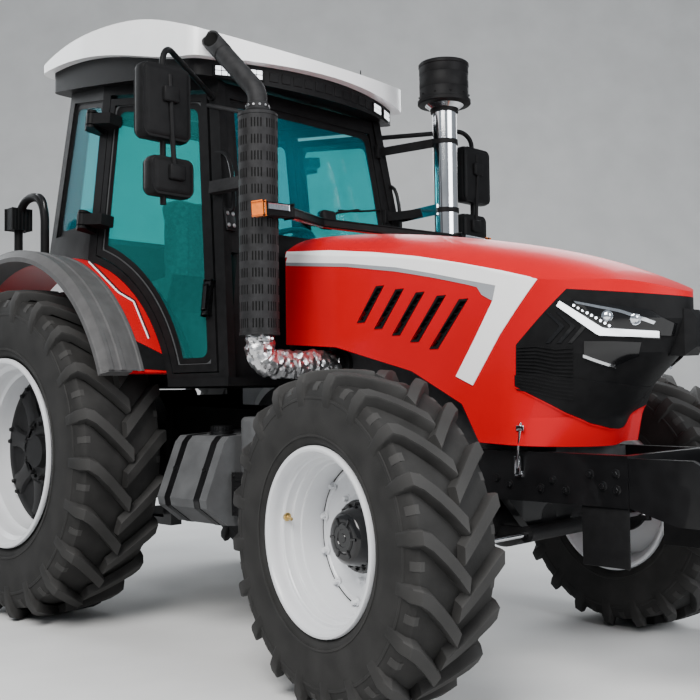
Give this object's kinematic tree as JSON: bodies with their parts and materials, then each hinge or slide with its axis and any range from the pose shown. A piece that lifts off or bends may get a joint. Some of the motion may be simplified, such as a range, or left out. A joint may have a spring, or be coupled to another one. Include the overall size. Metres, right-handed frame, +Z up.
{
  "type": "farm tractor",
  "caption": "Four-wheel-drive farm tractor with closed cab, lift-up hood, rear-hinged doors, steered front axle, front carrier and rear three-point hitch.",
  "frame": {"origin": "on the ground under the centre of the bounding box", "axes": "+X forward, +Y to the driver's left, +Z up"},
  "size_m": [4.7599, 2.51, 3.2161],
  "materials": {
    "tyre": "matt",
    "rim_white": "gloss",
    "hub_black": "satin",
    "chassis_black": "satin",
    "engine_grey": "matt",
    "rod_steel": "polished",
    "hood_red": "gloss",
    "fender_red": "gloss",
    "nose_black": "satin",
    "lamp_clear": "clear",
    "cab_black": "satin",
    "cab_glass": "tinted",
    "roof_white": "gloss",
    "roof_dark": "matt",
    "flare_grey": "matt",
    "exhaust_black": "matt",
    "intake_chrome": "polished",
    "tank_grey": "matt",
    "box_black": "matt",
    "trim_dark": "matt",
    "seat_fabric": "woven"
  },
  "bodies": {
    "chassis": {"access_steps": "box_black", "battery_box": "box_black", "cab_floor": "cab_black", "cab_frame": "cab_black", "cab_glass": "cab_glass", "cooler_pack": "engine_grey", "dash_and_console": "trim_dark", "door_hinges": "cab_black", "drawbar": "chassis_black", "engine_block": "engine_grey", "exhaust_stack": "exhaust_black", "fender_flares": "flare_grey", "fender_rails": "cab_black", "fenders": "fender_red", "front_axle_beam": "chassis_black", "front_carrier": "chassis_black", "front_drive_shaft": "chassis_black", "front_frame": "chassis_black", "fuel_tank": "tank_grey", "gearbox_housing": "chassis_black", "hitch_frame": "chassis_black", "hood_bulkhead": "cab_black", "intake_stack": "intake_chrome", "lift_housing": "chassis_black", "mirrors": "box_black", "pto_shaft": "rod_steel", "rear_axle_trumpets": "chassis_black", "roof_base": "roof_dark", "roof_cap": "roof_white", "seat_back": "seat_fabric", "seat_base": "trim_dark", "seat_cushion": "seat_fabric", "side_tank": "tank_grey", "top_link": "chassis_black"},
    "front_wheel_left": {"front_tyre_left": "tyre", "front_rim_left": "rim_white", "front_hub_left": "hub_black"},
    "front_wheel_right": {"front_tyre_right": "tyre", "front_rim_right": "rim_white", "front_hub_right": "hub_black"},
    "rear_wheel_left": {"rear_tyre_left": "tyre", "rear_rim_left": "rim_white", "rear_hub_left": "hub_black"},
    "rear_wheel_right": {"rear_tyre_right": "tyre", "rear_rim_right": "rim_white", "rear_hub_right": "hub_black"},
    "knuckle_left": {"knuckle_left": "chassis_black"},
    "knuckle_right": {"knuckle_right": "chassis_black"},
    "steering_rod": {"steering_rod": "rod_steel"},
    "hood": {"hood": "hood_red", "nose_panel": "nose_black", "headlamps": "lamp_clear"},
    "door_left": {"door_left": "cab_black", "door_glass_left": "cab_glass"},
    "door_right": {"door_right": "cab_black", "door_glass_right": "cab_glass"},
    "steering_wheel": {"steering_wheel": "trim_dark"},
    "lift_arms": {"lift_arms": "chassis_black"},
    "lift_rods": {"lift_rods": "chassis_black"},
    "lower_links": {"lower_links": "chassis_black"}
  },
  "joints": [
    {"name": "steer_left", "type": "hinge", "parent": "chassis", "child": "knuckle_left", "pos_m": [1.25, 0.74, 0.64], "axis": [0, 0, 1], "range_deg": [-30.4, 49.6]},
    {"name": "steer_right", "type": "hinge", "parent": "chassis", "child": "knuckle_right", "pos_m": [1.25, -0.74, 0.64], "axis": [0, 0, 1], "range_deg": [-30.4, 49.6]},
    {"name": "steering_rod_slide", "type": "slide", "parent": "chassis", "child": "steering_rod", "axis": [0, 1, 0], "range_m": [-0.11248, 0.18352]},
    {"name": "front_left_roll", "type": "hinge", "parent": "knuckle_left", "child": "front_wheel_left", "pos_m": [1.29002, 0.97664, 0.64], "axis": [0.1668, 0.986, 0], "continuous": true},
    {"name": "front_right_roll", "type": "hinge", "parent": "knuckle_right", "child": "front_wheel_right", "pos_m": [1.20998, -0.97664, 0.64], "axis": [0.1668, 0.986, 0], "continuous": true},
    {"name": "rear_left_roll", "type": "hinge", "parent": "chassis", "child": "rear_wheel_left", "pos_m": [-1.25, 0.94, 0.89], "axis": [0, 1, 0], "continuous": true},
    {"name": "rear_right_roll", "type": "hinge", "parent": "chassis", "child": "rear_wheel_right", "pos_m": [-1.25, -0.94, 0.89], "axis": [0, 1, 0], "continuous": true},
    {"name": "hood_hinge", "type": "hinge", "parent": "chassis", "child": "hood", "pos_m": [0.23, 0, 1.908], "axis": [0, -1, 0], "range_deg": [0, 50]},
    {"name": "door_left_hinge", "type": "hinge", "parent": "chassis", "child": "door_left", "pos_m": [-0.89615, 0.89324, 2.1417], "axis": [-0.0144, -0.1054, 0.9943], "range_deg": [0, 70]},
    {"name": "door_right_hinge", "type": "hinge", "parent": "chassis", "child": "door_right", "pos_m": [-0.89615, -0.89324, 2.1417], "axis": [0.0144, -0.1054, -0.9943], "range_deg": [0, 70]},
    {"name": "steering_wheel_turn", "type": "hinge", "parent": "chassis", "child": "steering_wheel", "pos_m": [-0.3, 0, 1.985], "axis": [-0.4983, 0, 0.867], "continuous": true},
    {"name": "lift", "type": "hinge", "parent": "chassis", "child": "lift_arms", "pos_m": [-1.58, 0, 1.18], "axis": [0, 1, 0], "range_deg": [-20, 24]},
    {"name": "lift_rod_swing", "type": "hinge", "parent": "lift_arms", "child": "lift_rods", "pos_m": [-1.96, 0, 1.18], "axis": [0, 1, 0], "range_deg": [-24, 20]},
    {"name": "lower_link_swing", "type": "hinge", "parent": "chassis", "child": "lower_links", "pos_m": [-1.58, 0, 0.59], "axis": [0, 1, 0], "range_deg": [-20, 24]}
  ],
  "couplings": [
    {"joint": "steer_right", "follows": "steer_left", "ratio": 1},
    {"joint": "steering_rod_slide", "follows": "steer_left", "m_per_rad": 0.212},
    {"joint": "lift_rod_swing", "follows": "lift", "ratio": -1},
    {"joint": "lower_link_swing", "follows": "lift", "ratio": 1}
  ]
}
